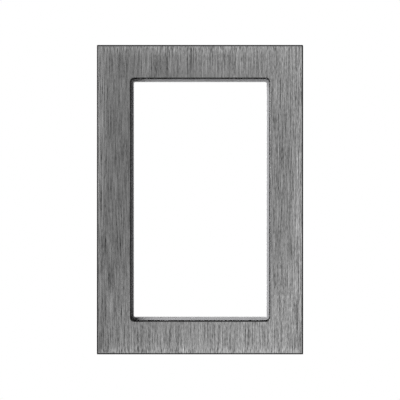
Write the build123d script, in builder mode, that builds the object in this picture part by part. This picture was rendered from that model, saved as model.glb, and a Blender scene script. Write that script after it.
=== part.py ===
from build123d import *
import math
import os

# Two-gang cover frame for flush-mounted light switches. A cover folded from one sheet of brushed stainless
# steel is held by its tabs on a moulded plastic carrier, whose ledge shows inside the window.
# The wall is the plane Y = 0, the frame looks along -Y and +Z is up. The origin is the middle of the window
# on the wall, and a height is a distance in front of the wall. Lengths are in millimetres.

# Switch insert that the window takes
insert_width = 55.0
insert_height = 96.0
insert_gap = 0.1  # air between the insert and the window's edge

# Outline of the frame
side_border = 13.1  # face left and right of the window
end_border = 12.95  # face above and below the window
frame_depth = 9.0

# Sheet of the cover
sheet = 0.5
fold_radius = 0.05  # inside radius of the outer folds
corner_radius = 0.45  # outer corners, seen from the front
window_radius = 1.6  # corners of the window
window_edge = 0.05  # crisp ground edge of the window
crown_width = 4.0  # band along the outer edges where the face rolls off
crown_radius = 32.0
wall_gap = 0.5  # the cover's rear edge stays clear of the wall

# Tabs folded over the carrier
tab_width = 6.0
tab_lap = 0.9
tab_relief = 0.4  # slots beside each tab
side_tab_count = 3
side_tab_pitch = 40.0
end_tab_count = 2
end_tab_pitch = 36.0

# Carrier
fit = 0.1  # air between the carrier and the cover
web = 1.6  # plate behind the cover's face
rim = 2.2  # outer wall
ledge_depth = 3.5  # face of the cover to the ledge under the insert
ledge_width = 0.9
groove_depth = 0.4  # groove outside the ledge for the edge of the cover's flange
flange_air = 0.2
link = 1.4  # wall that joins the web to the shelf
shelf = 1.4  # floor under the groove
collar = 1.6
collar_height = 0.9
rim_radius = 1.0  # corners inside the rim
lead_in = 0.3  # chamfers that guide the cover's flange and tabs
pocket_gap = 0.15  # air round each tab
edge_round = 0.25

# Ribs between the collar and the rim
rib = 1.2
side_rib_count = 7
side_rib_pitch = 15.0
end_rib_count = 5
end_rib_pitch = 12.0

# Heights in front of the wall
seat = frame_depth - sheet
web_rear = seat - web
ledge = frame_depth - ledge_depth
groove_floor = ledge - groove_depth
flange_end = groove_floor + flange_air
shelf_rear = groove_floor - shelf
collar_rear = shelf_rear - collar_height
tab_front = wall_gap + sheet

# Outlines
insert_radius = window_radius - insert_gap
frame_width = insert_width + 2 * (insert_gap + side_border)
frame_height = insert_height + 2 * (insert_gap + end_border)
bend_radius = fold_radius + sheet
carrier_inset = sheet + fit
rim_inset = carrier_inset + rim
flange_growth = insert_gap + sheet
slot_growth = flange_growth + fit
link_growth = slot_growth + link
collar_growth = collar - ledge_width

# Planes whose X runs across the frame or up it, and whose Y is the height in front of the wall
across = Plane(origin=(0, 0, 0), x_dir=(1, 0, 0), z_dir=(0, 0, -1))
upright = Plane(origin=(0, 0, 0), x_dir=(0, 0, 1), z_dir=(1, 0, 0))


def crowned_section(plane, span, front, rear, crown, radius, bend):
    """Section with a flat front that rolls off to both sides and folds down into the side walls."""
    half = span / 2
    center = (half - crown, front - radius)
    rise = math.sqrt((radius - bend) ** 2 - (crown - bend) ** 2)
    reach = radius / (radius - bend)
    with BuildSketch(plane) as section:
        with BuildLine():
            face = Line((0, front), (half - crown, front))
            roll_end = (center[0] + (crown - bend) * reach, center[1] + rise * reach)
            roll = TangentArc(face @ 1, roll_end, tangent=face % 1)
            fold = TangentArc(roll @ 1, (half, center[1] + rise), tangent=roll % 1)
            Polyline(fold @ 1, (half, rear), (0, rear))
            mirror(about=Plane.YZ)
        make_face()
    return section.sketch


def crowned_block(inset, front, rear, crown, radius, bend, corner):
    """Block with the cover's outer form, drawn in on all four sides by the inset."""
    width = frame_width - 2 * inset
    height = frame_height - 2 * inset
    with BuildPart() as block:
        extrude(crowned_section(across, width, front, rear, crown, radius, bend), amount=height / 2, both=True)
        extrude(
            crowned_section(upright, height, front, rear, crown, radius, bend),
            amount=width / 2,
            both=True,
            mode=Mode.INTERSECT,
        )
        with BuildSketch(Plane.XZ):
            RectangleRounded(width, height, corner)
        extrude(amount=front, mode=Mode.INTERSECT)
    return block.part


def insert_outline(growth, height):
    """The insert's outline grown by an even margin, at a height in front of the wall."""
    with BuildSketch(Plane.XZ.offset(height)) as outline:
        RectangleRounded(insert_width + 2 * growth, insert_height + 2 * growth, insert_radius + growth)
    return outline.sketch


def spread(count, pitch):
    """Places of an evenly spaced row about its middle."""
    return [(place - (count - 1) / 2) * pitch for place in range(count)]


def tab_planes():
    """A plane at each tab on the cover's outer wall: X runs inwards and Y is the height above the wall."""
    planes = []
    for side in (1, -1):
        for place in spread(side_tab_count, side_tab_pitch):
            origin = (side * frame_width / 2, 0, place)
            planes.append(Plane(origin=origin, x_dir=(-side, 0, 0), z_dir=(0, 0, side)))
        for place in spread(end_tab_count, end_tab_pitch):
            origin = (place, 0, side * frame_height / 2)
            planes.append(Plane(origin=origin, x_dir=(0, 0, -side), z_dir=(-side, 0, 0)))
    return planes


# Front cover: crowned sheet with folded walls, a flanged window and folded tabs
cover_form = crowned_block(0, frame_depth, wall_gap, crown_width, crown_radius, bend_radius, corner_radius)
cover_hollow = crowned_block(
    sheet, seat, wall_gap, crown_width - sheet, crown_radius - sheet, fold_radius, fold_radius
)
relief_top = wall_gap + bend_radius + tab_relief
tab_end = carrier_inset + tab_lap

with BuildPart() as front_cover:
    add(cover_form)
    add(cover_hollow, mode=Mode.SUBTRACT)
    extrude(insert_outline(flange_growth, flange_end), amount=seat - flange_end)
    extrude(insert_outline(insert_gap, flange_end), amount=frame_depth - flange_end, mode=Mode.SUBTRACT)
    fillet(front_cover.faces().sort_by(Axis.Y)[0].inner_wires()[0].edges(), window_edge)
    with BuildSketch(*tab_planes()):
        with Locations((0, wall_gap)):
            Rectangle(sheet, relief_top - wall_gap, align=Align.MIN)
    extrude(amount=tab_width / 2 + tab_relief, both=True, mode=Mode.SUBTRACT)
    with BuildSketch(*tab_planes()):
        with BuildLine():
            outer_wall = Line((0, relief_top), (0, wall_gap + bend_radius))
            outer_fold = TangentArc(outer_wall @ 1, (bend_radius, wall_gap), tangent=outer_wall % 1)
            tip = Polyline(outer_fold @ 1, (tab_end, wall_gap), (tab_end, tab_front), (bend_radius, tab_front))
            inner_fold = TangentArc(tip @ 1, (sheet, wall_gap + bend_radius), tangent=(-1, 0))
            Polyline(inner_fold @ 1, (sheet, relief_top), outer_wall @ 0)
        make_face()
    extrude(amount=tab_width / 2, both=True)
front_cover.part.label = "front_cover"

# Carrier frame: web and rim inside the cover, stepped collar round the window, ribs behind
carrier_form = crowned_block(
    carrier_inset, seat, 0, crown_width, crown_radius - sheet, bend_radius, corner_radius
)
collar_half = insert_width / 2 + collar_growth, insert_height / 2 + collar_growth
rim_half = frame_width / 2 - rim_inset, frame_height / 2 - rim_inset
rib_start = [half - collar / 2 for half in collar_half]
rib_stop = [half + rim / 2 for half in rim_half]

with BuildPart() as carrier_frame:
    add(carrier_form)
    with BuildSketch(Plane.XZ):
        RectangleRounded(2 * rim_half[0], 2 * rim_half[1], rim_radius)
    extrude(amount=web_rear, mode=Mode.SUBTRACT)
    fillet(carrier_frame.faces().sort_by(Axis.Y)[-1].edges(), edge_round)
    extrude(insert_outline(link_growth, shelf_rear), amount=web_rear - shelf_rear)
    extrude(insert_outline(collar_growth, collar_rear), amount=shelf_rear - collar_rear)
    with BuildSketch(Plane.XZ.offset(collar_rear)):
        with GridLocations(rib_start[0] + rib_stop[0], side_rib_pitch, 2, side_rib_count):
            Rectangle(rib_stop[0] - rib_start[0], rib)
        with GridLocations(end_rib_pitch, rib_start[1] + rib_stop[1], end_rib_count, 2):
            Rectangle(rib, rib_stop[1] - rib_start[1])
    extrude(amount=web_rear - collar_rear)
    extrude(insert_outline(slot_growth, groove_floor), amount=frame_depth - groove_floor, mode=Mode.SUBTRACT)
    chamfer(carrier_frame.faces().sort_by(Axis.Y)[0].inner_wires()[0].edges(), lead_in)
    extrude(insert_outline(0, groove_floor), amount=groove_depth)
    extrude(insert_outline(-ledge_width, 0), amount=frame_depth, mode=Mode.SUBTRACT)
    with BuildSketch(*tab_planes()):
        with BuildLine():
            Polyline(
                (0, 0),
                (tab_end + pocket_gap, 0),
                (tab_end + pocket_gap, tab_front),
                (carrier_inset + lead_in, tab_front),
                (carrier_inset, tab_front + lead_in),
                (0, tab_front + lead_in),
                close=True,
            )
        make_face()
    extrude(amount=tab_width / 2 + pocket_gap, both=True, mode=Mode.SUBTRACT)
carrier_frame.part.label = "carrier_frame"

os.makedirs("parts", exist_ok=True)
export_step(front_cover.part, "parts/front_cover.step")
export_step(carrier_frame.part, "parts/carrier_frame.step")
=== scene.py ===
import math
import bpy
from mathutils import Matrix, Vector


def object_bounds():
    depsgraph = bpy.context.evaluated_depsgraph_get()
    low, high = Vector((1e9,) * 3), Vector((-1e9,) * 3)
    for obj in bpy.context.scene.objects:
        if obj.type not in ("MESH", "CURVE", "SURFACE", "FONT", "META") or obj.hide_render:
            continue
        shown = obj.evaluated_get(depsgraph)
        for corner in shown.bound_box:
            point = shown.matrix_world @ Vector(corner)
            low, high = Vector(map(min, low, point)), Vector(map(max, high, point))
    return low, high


# Two-gang switch frame: brushed metal cover on a grey moulded carrier, seen straight from the front.
# Lengths are in metres, in the frame's own axes: the face looks along -Y and +Z is up.
MM = 0.001

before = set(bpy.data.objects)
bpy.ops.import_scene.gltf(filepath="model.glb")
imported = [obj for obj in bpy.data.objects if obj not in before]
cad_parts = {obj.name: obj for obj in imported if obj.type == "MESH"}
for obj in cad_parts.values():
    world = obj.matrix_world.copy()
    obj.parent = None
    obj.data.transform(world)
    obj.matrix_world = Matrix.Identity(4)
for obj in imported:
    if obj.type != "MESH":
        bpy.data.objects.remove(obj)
cad_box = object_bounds()
low, high = Vector(cad_box[0]), Vector(cad_box[1])
center = (low + high) / 2

# Camera
CAMERA_DISTANCE = 315 * MM  # from the face of the frame
CAMERA_OFFSET = (3 * MM, 6 * MM)  # right of the middle and above it
CAMERA_CLIP = 10 * MM
VIEW_CENTER = (0.0, -0.12 * MM)  # what the middle of the picture shows
VIEW_HEIGHT = 157.5 * MM  # what the picture shows at the face, from edge to edge
SENSOR = 36.0  # width in millimetres

# Colour of the brushed cover
STEEL = 0.13  # grey of the face, on average
EDGE_TINT = 0.45  # how much is kept of the bright mirror that metal is at a flat angle
STREAKS = [  # width, length, detail and contrast of each layer of brushing, the finest one first
    (0.22 * MM, 1.7 * MM, 2.0, 2.0),
    (0.22 * MM, 12.0 * MM, 1.0, 3.0),
    (3.0 * MM, 60.0 * MM, 1.0, 0.3),
]
NOISE_MEAN = 0.5  # about which the streaks are lighter and darker
END_WALL = 0.7  # a surface that faces this far up or down is an end wall, brushed front to back
WALL_FACING = (0.08, 0.2)  # how far forwards a surface faces where a wall ends and where the face begins
EDGE_SHEEN_WIDTH = 4.7 * MM  # band along the outer edges that is painted lighter, a painted sheen
# how much lighter the painted sheen makes the outermost edge
EDGE_SHEEN_GAIN = 0.36
FOLD_PAINTED_SHADE = 0.06  # painted shade on the outer folds, which have no streaks: their brightness where the face has 1
FOLD_WIDTH = 0.58 * MM
FOLD_SOFTNESS = 0.05 * MM  # either side of the line where the painted fold shade ends and the brushing begins
FLANGE_PAINTED_SHADE = 0.4  # painted shade on the flange inside the window: its brightness where the face has 1
FLANGE_INSET = 6.0 * MM  # a wall further in from the outline than this is the flange

# Gloss and relief of the brushed cover
ANISOTROPY = 0.5
BRUSHING = (0.0, 0.02, 1.0)  # up the frame, and slightly front to back for the end walls
STREAK_RANGE = (0.3, 0.7)  # the noise in dark streaks and in light ones
STREAK_ROUGHNESS = (0.28, 0.2)  # their roughness
DULL_FACING = (0.2, 0.4)  # as WALL_FACING, for the duller gloss of the walls
WALL_ROUGHNESS = 0.22  # added on the walls
GROOVE_STRENGTH = 0.12
GROOVE_DEPTH = 0.02 * MM

# Moulded carrier
CARRIER_GREY = (0.40, 0.40, 0.41)
GREY_SWING = 0.08  # how far the grey goes either way
GRAIN_SIZE = 0.16 * MM
GRAIN_DETAIL = 3.0
GRAIN_HARSHNESS = 0.6
CLOUD_SIZE = 9 * MM
CLOUD_DETAIL = 2.0
CLOUD_SHARE = 0.6  # of the swing, and the rest follows the grain
CARRIER_ROUGHNESS = (0.5, 0.66)
CARRIER_SPECULAR = 0.3
GRAIN_STRENGTH = 0.25
GRAIN_DEPTH = 0.03 * MM

# Stage
FLOOR_DROP = 0.45
FLOOR_RADIUS = 1.2
FLOOR_SIDES = 96
FLOOR_WHITE = 0.86
FLOOR_ROUGHNESS = 0.9
FLOOR_GLOW = 0.8  # share of the surroundings' white in what is seen of the floor's middle
AMBIENT = 0.07  # what the surroundings give to diffuse surfaces
LAMPS = [  # name, azimuth, elevation, distance, width, height and power
    ("key", -58, 16, 0.9, 0.7, 0.7, 16.6),
    ("rear", -145, 15, 0.9, 0.4, 0.4, 4.5),
]
SHEENS = [  # the same for soft panels that show only in the gloss of the metal
    ("right panel", 17, 0, 0.9, 0.4, 0.42, 0.58),
    ("low panel", 3.5, -21, 0.9, 0.36, 0.36, 0.6),
    ("top panel", 7, 20, 0.9, 0.36, 0.28, 0.3),
]


def new_material(name):
    """A material with an empty node tree and its Principled shader, already linked."""
    material = bpy.data.materials.new(name)
    material.use_nodes = True
    tree = material.node_tree
    tree.nodes.clear()
    output = tree.nodes.new("ShaderNodeOutputMaterial")
    shader = tree.nodes.new("ShaderNodeBsdfPrincipled")
    tree.links.new(shader.outputs["BSDF"], output.inputs["Surface"])
    return material, tree, shader


def plug(tree, value, socket):
    """Links an output to a socket, or sets a plain value on it."""
    if isinstance(value, bpy.types.NodeSocket):
        tree.links.new(value, socket)
    else:
        socket.default_value = value


def math_node(tree, operation, *values, clamp=False):
    """The output of a Math node."""
    node = tree.nodes.new("ShaderNodeMath")
    node.operation = operation
    node.use_clamp = clamp
    for value, socket in zip(values, node.inputs):
        plug(tree, value, socket)
    return node.outputs["Value"]


def vector_math(tree, operation, *vectors):
    """The outputs of a Vector Math node."""
    node = tree.nodes.new("ShaderNodeVectorMath")
    node.operation = operation
    for vector, socket in zip(vectors, node.inputs):
        plug(tree, vector, socket)
    return node.outputs


def split(tree, vector):
    """The X, Y and Z of a vector."""
    node = tree.nodes.new("ShaderNodeSeparateXYZ")
    plug(tree, vector, node.inputs["Vector"])
    return node.outputs


def map_range(tree, value, start, end):
    """A value carried from one range to another, and held at the ends of the second."""
    node = tree.nodes.new("ShaderNodeMapRange")
    plug(tree, value, node.inputs["Value"])
    node.inputs["From Min"].default_value, node.inputs["From Max"].default_value = start
    node.inputs["To Min"].default_value, node.inputs["To Max"].default_value = end
    return node.outputs["Result"]


def noise(tree, vector, scale, detail, roughness=0.5):
    """The grey output of a Noise Texture."""
    node = tree.nodes.new("ShaderNodeTexNoise")
    plug(tree, vector, node.inputs["Vector"])
    node.inputs["Scale"].default_value = scale
    node.inputs["Detail"].default_value = detail
    node.inputs["Roughness"].default_value = roughness
    return node.outputs["Fac"]


def add_relief(tree, shader, height, strength, depth):
    """Fine relief on a shader."""
    node = tree.nodes.new("ShaderNodeBump")
    node.inputs["Strength"].default_value = strength
    node.inputs["Distance"].default_value = depth
    plug(tree, height, node.inputs["Height"])
    plug(tree, node.outputs["Normal"], shader.inputs["Normal"])


def streaks(tree, position, end_wall, width, length, detail):
    """Noise drawn out along the brushing: up the face and side walls, and front to back on the end walls."""
    scaled = tree.nodes.new("ShaderNodeCombineXYZ")
    depth_scale = math_node(tree, "MULTIPLY_ADD", end_wall, 1 / length - 1 / width, 1 / width)
    for axis, scale in (("X", 1 / width), ("Y", depth_scale), ("Z", 1 / length)):
        plug(tree, math_node(tree, "MULTIPLY", position[axis], scale), scaled.inputs[axis])
    return noise(tree, scaled.outputs["Vector"], 1.0, detail)


def brushed_metal():
    """Steel with streaks along Z in colour, gloss and relief, a painted sheen along the outer edges, and
    painted shade on the outer folds and on the flange.
    """
    material, tree, shader = new_material("brushed_steel")
    place = tree.nodes.new("ShaderNodeTexCoord")
    position = split(tree, place.outputs["Object"])
    facing = split(tree, place.outputs["Normal"])
    front = math_node(tree, "MULTIPLY", facing["Y"], -1.0)
    end_wall = math_node(tree, "GREATER_THAN", math_node(tree, "ABSOLUTE", facing["Z"]), END_WALL)
    upright = map_range(tree, front, WALL_FACING, (1.0, 0.0))
    beside = math_node(tree, "SUBTRACT", high.x, math_node(tree, "ABSOLUTE", position["X"]))
    beyond = math_node(tree, "SUBTRACT", high.z, math_node(tree, "ABSOLUTE", position["Z"]))
    inset = math_node(tree, "MINIMUM", beside, beyond)

    layers = []
    brightness = 1.0
    for width, length, detail, contrast in STREAKS:
        layer = streaks(tree, position, end_wall, width, length, detail)
        swing = math_node(tree, "SUBTRACT", layer, NOISE_MEAN)
        brightness = math_node(tree, "MULTIPLY_ADD", swing, contrast, brightness)
        layers.append(layer)
    finest = layers[0]
    # painted sheen: the band along the outer edges is painted lighter
    edge_sheen = map_range(tree, inset, (0.0, EDGE_SHEEN_WIDTH), (1 + EDGE_SHEEN_GAIN, 1.0))
    streaks_and_sheen = math_node(tree, "MULTIPLY", brightness, edge_sheen)

    # painted shade: the outer folds get a plain dark colour in place of the streaks
    past_fold = map_range(tree, inset, (FOLD_WIDTH - FOLD_SOFTNESS, FOLD_WIDTH + FOLD_SOFTNESS), (0.0, 1.0))
    tone_with_painted_shade = tree.nodes.new("ShaderNodeMix")
    plug(tree, math_node(tree, "MAXIMUM", upright, past_fold), tone_with_painted_shade.inputs["Factor"])
    plug(tree, FOLD_PAINTED_SHADE, tone_with_painted_shade.inputs["A"])
    plug(tree, streaks_and_sheen, tone_with_painted_shade.inputs["B"])
    # painted shade: the flange inside the window is painted darker
    flange = math_node(tree, "MULTIPLY", upright, math_node(tree, "GREATER_THAN", inset, FLANGE_INSET))
    shade = math_node(tree, "MULTIPLY_ADD", flange, FLANGE_PAINTED_SHADE - 1, 1.0)
    level = math_node(tree, "MULTIPLY", tone_with_painted_shade.outputs["Result"], STEEL)
    plug(tree, math_node(tree, "MULTIPLY", level, shade), shader.inputs["Base Color"])

    shader.inputs["Metallic"].default_value = 1.0
    shader.inputs["Specular Tint"].default_value = (EDGE_TINT, EDGE_TINT, EDGE_TINT, 1)
    shader.inputs["Anisotropic"].default_value = ANISOTROPY
    across = vector_math(tree, "CROSS_PRODUCT", place.outputs["Normal"], BRUSHING)
    plug(tree, across["Vector"], shader.inputs["Tangent"])
    gloss = map_range(tree, finest, STREAK_RANGE, STREAK_ROUGHNESS)
    dull = map_range(tree, front, DULL_FACING, (1.0, 0.0))
    roughness = math_node(tree, "MULTIPLY_ADD", dull, WALL_ROUGHNESS, gloss)
    plug(tree, roughness, shader.inputs["Roughness"])
    add_relief(tree, shader, finest, GROOVE_STRENGTH, GROOVE_DEPTH)
    return material


def moulded_plastic():
    """Grey satin plastic with a fine spark-eroded grain and faint cloudiness."""
    material, tree, shader = new_material("grey_plastic")
    place = tree.nodes.new("ShaderNodeTexCoord")
    grain = noise(tree, place.outputs["Object"], 1 / GRAIN_SIZE, GRAIN_DETAIL, GRAIN_HARSHNESS)
    cloud = noise(tree, place.outputs["Object"], 1 / CLOUD_SIZE, CLOUD_DETAIL)

    tint = tree.nodes.new("ShaderNodeMix")
    tint.data_type = "RGBA"
    for socket, level in (("A", 1 - GREY_SWING), ("B", 1 + GREY_SWING)):
        tint.inputs[socket].default_value = (*(level * part for part in CARRIER_GREY), 1)
    grain_part = math_node(tree, "MULTIPLY", grain, 1 - CLOUD_SHARE)
    plug(tree, math_node(tree, "MULTIPLY_ADD", cloud, CLOUD_SHARE, grain_part), tint.inputs["Factor"])
    plug(tree, tint.outputs["Result"], shader.inputs["Base Color"])

    plug(tree, map_range(tree, grain, (0.0, 1.0), CARRIER_ROUGHNESS), shader.inputs["Roughness"])
    shader.inputs["Specular IOR Level"].default_value = CARRIER_SPECULAR
    add_relief(tree, shader, grain, GRAIN_STRENGTH, GRAIN_DEPTH)
    return material


def dress(node, material):
    """Gives a CAD node its material."""
    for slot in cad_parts[node].material_slots:
        slot.material = material


def seen_rays(tree):
    """1 for what the camera, a reflection or a transmission sees, and 0 for other rays."""
    path = tree.nodes.new("ShaderNodeLightPath")
    seen = math_node(tree, "ADD", path.outputs["Is Camera Ray"], path.outputs["Is Glossy Ray"])
    return math_node(tree, "ADD", seen, path.outputs["Is Transmission Ray"], clamp=True)


def build_world():
    """White surroundings for the eye and for reflections, and a softer ambient level for diffuse light."""
    world = bpy.data.worlds.new("studio")
    world.use_nodes = True
    bpy.context.scene.world = world
    tree = world.node_tree
    background = tree.nodes["Background"]
    background.inputs["Color"].default_value = (1, 1, 1, 1)
    strength = math_node(tree, "MULTIPLY_ADD", seen_rays(tree), 1 - AMBIENT, AMBIENT)
    plug(tree, strength, background.inputs["Strength"])


def build_floor():
    """A plain pale disc under the object, below the front view, that fades into the white at its rim."""
    bpy.ops.mesh.primitive_circle_add(
        vertices=FLOOR_SIDES, radius=FLOOR_RADIUS, fill_type="NGON", location=(0, 0, low.z - FLOOR_DROP)
    )
    floor = bpy.context.object
    floor.name = "floor"
    material, tree, shader = new_material("pale_floor")
    shader.inputs["Base Color"].default_value = (FLOOR_WHITE, FLOOR_WHITE, FLOOR_WHITE, 1)
    shader.inputs["Roughness"].default_value = FLOOR_ROUGHNESS
    place = tree.nodes.new("ShaderNodeTexCoord")
    reach = vector_math(tree, "LENGTH", place.outputs["Object"])
    fade = map_range(tree, reach["Value"], (FLOOR_RADIUS / 2, FLOOR_RADIUS), (FLOOR_GLOW, 1.0))
    glow = tree.nodes.new("ShaderNodeEmission")
    mix = tree.nodes.new("ShaderNodeMixShader")
    plug(tree, math_node(tree, "MULTIPLY", seen_rays(tree), fade), mix.inputs["Fac"])
    plug(tree, shader.outputs["BSDF"], mix.inputs[1])
    plug(tree, glow.outputs["Emission"], mix.inputs[2])
    plug(tree, mix.outputs["Shader"], tree.nodes["Material Output"].inputs["Surface"])
    floor.data.materials.append(material)


def area_lamp(name, azimuth, elevation, distance, width, height, power):
    """A soft lamp aimed at the middle of the object. Azimuth 0 is in front and 90 to the right."""
    light = bpy.data.lights.new(name, "AREA")
    light.shape = "RECTANGLE"
    light.size = width
    light.size_y = height
    light.energy = power
    lamp = bpy.data.objects.new(name, light)
    turn, rise = math.radians(azimuth), math.radians(elevation)
    direction = Vector((math.sin(turn) * math.cos(rise), -math.cos(turn) * math.cos(rise), math.sin(rise)))
    lamp.location = center + direction * distance
    lamp.rotation_euler = (-direction).to_track_quat("-Z", "Y").to_euler()
    bpy.context.collection.objects.link(lamp)
    return lamp


def build_lamps():
    """Key from the left, a soft lamp behind for the other views, and panels that the metal mirrors."""
    for settings in LAMPS:
        area_lamp(*settings)
    for settings in SHEENS:
        panel = area_lamp(*settings)
        panel.visible_diffuse = False


def build_camera():
    """Camera square to the face, a little right of its middle and above it."""
    data = bpy.data.cameras.new("camera")
    data.sensor_width = SENSOR
    data.lens = SENSOR * CAMERA_DISTANCE / VIEW_HEIGHT
    data.clip_start = CAMERA_CLIP
    data.shift_x = (VIEW_CENTER[0] - CAMERA_OFFSET[0]) / VIEW_HEIGHT
    data.shift_y = (VIEW_CENTER[1] - CAMERA_OFFSET[1]) / VIEW_HEIGHT
    camera = bpy.data.objects.new("camera", data)
    camera.location = (CAMERA_OFFSET[0], low.y - CAMERA_DISTANCE, CAMERA_OFFSET[1])
    camera.rotation_euler = (math.radians(90), 0, 0)
    bpy.context.collection.objects.link(camera)
    bpy.context.scene.camera = camera


dress("front_cover", brushed_metal())
dress("carrier_frame", moulded_plastic())
build_world()
build_floor()
build_lamps()
build_camera()
bpy.context.scene.view_settings.view_transform = "Standard"
